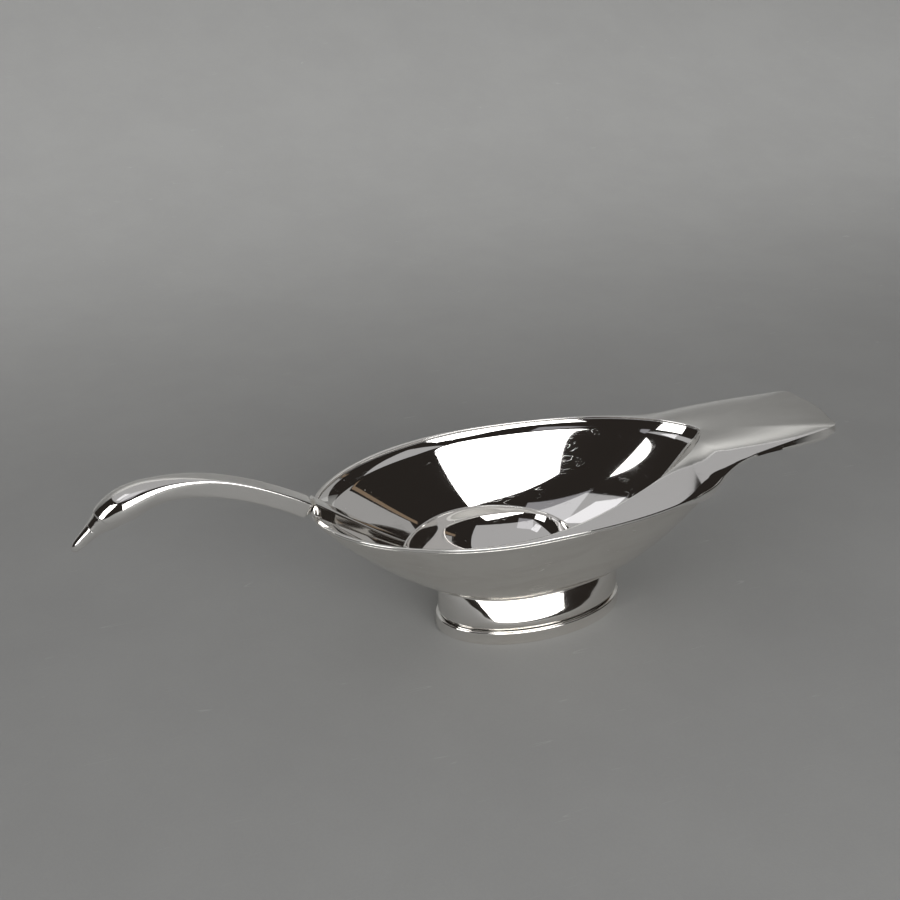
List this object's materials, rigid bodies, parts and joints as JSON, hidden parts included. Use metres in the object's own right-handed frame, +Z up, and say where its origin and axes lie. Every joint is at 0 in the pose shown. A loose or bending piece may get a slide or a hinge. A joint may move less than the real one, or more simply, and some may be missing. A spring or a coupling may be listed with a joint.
{
  "type": "gravy boat with ladle",
  "caption": "Swan-shaped silver-plated gravy boat on an oval foot, with a wing-edged bowl, a flat tail grip and a lift-out ladle whose handle is the neck and head.",
  "frame": {"origin": "centre of the overall box on the plane of the table, under the bowl and a little in front of the foot's middle", "axes": "+X from the swan's head to its tail, +Z up, +Y to the swan's right-hand wing seen from the head"},
  "size_m": [0.33, 0.101, 0.0969],
  "materials": {
    "hull_silver": "polished silver plate with hand-rubbed smudges",
    "bowl_silver": "mirror-polished silver plate with fine scratches and pits",
    "plate_silver": "polished silver plate with light wear",
    "foot_silver": "mirror-polished silver plate",
    "ladle_bowl_silver": "mirror-polished silver plate with fine scratches",
    "ladle_handle_silver": "mirror-polished silver plate"
  },
  "bodies": {
    "boat": {"hull_shell": "hull_silver", "inner_bowl": "bowl_silver", "rim_wings_tail": "plate_silver", "foot_collar": "foot_silver", "foot_wall": "foot_silver", "foot_base_band": "foot_silver"},
    "ladle": {"ladle_bowl": "ladle_bowl_silver", "ladle_stem": "ladle_handle_silver", "swan_neck_head": "ladle_handle_silver"}
  },
  "joints": [
    {"name": "ladle_lift", "type": "slide", "parent": "boat", "child": "ladle", "axis": [0, 0, 1], "range_m": [0, 0.12]}
  ]
}
